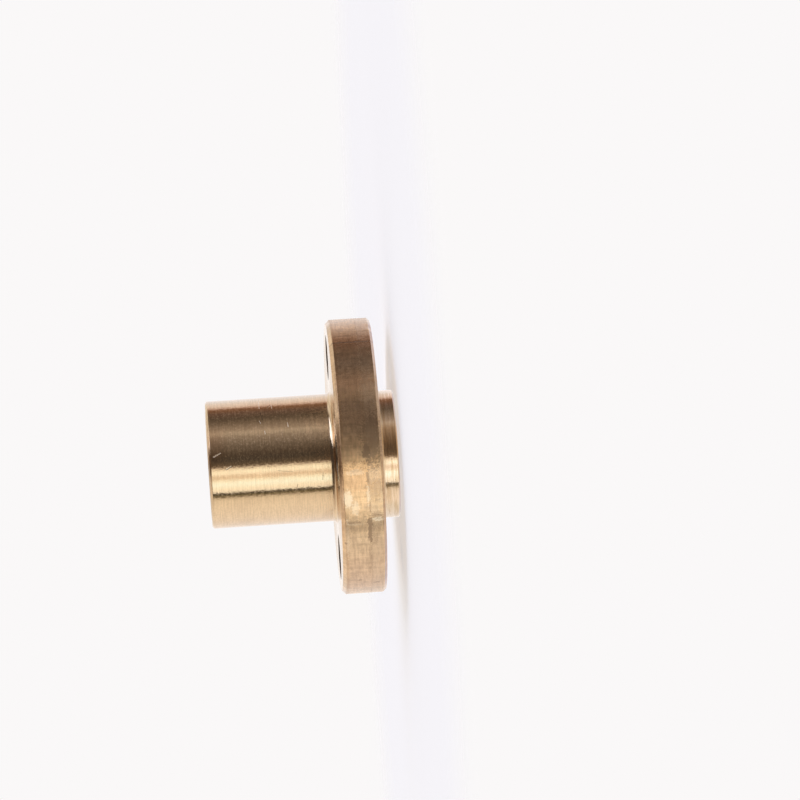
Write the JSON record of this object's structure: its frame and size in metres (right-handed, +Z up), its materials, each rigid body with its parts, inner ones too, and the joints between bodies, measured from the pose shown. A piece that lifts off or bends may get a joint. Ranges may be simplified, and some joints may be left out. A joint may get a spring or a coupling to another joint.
{
  "type": "lead screw nut",
  "caption": "Round flanged nut with a long plain body, a short boss, through holes in the flange and an internal right-hand trapezoidal thread that runs on a lead screw.",
  "frame": {"origin": "on the screw axis, at the end face of the short boss that the nut stands on", "axes": "+Z up along the screw axis, from the boss towards the free end of the body; +X through one screw hole of the flange, and +Y through the next"},
  "size_m": [0.022, 0.022, 0.015],
  "materials": {
    "brass": "as turned, with fine tool marks and light handling scratches"
  },
  "bodies": {
    "root": {"lead_screw_nut": "brass"}
  },
  "joints": []
}
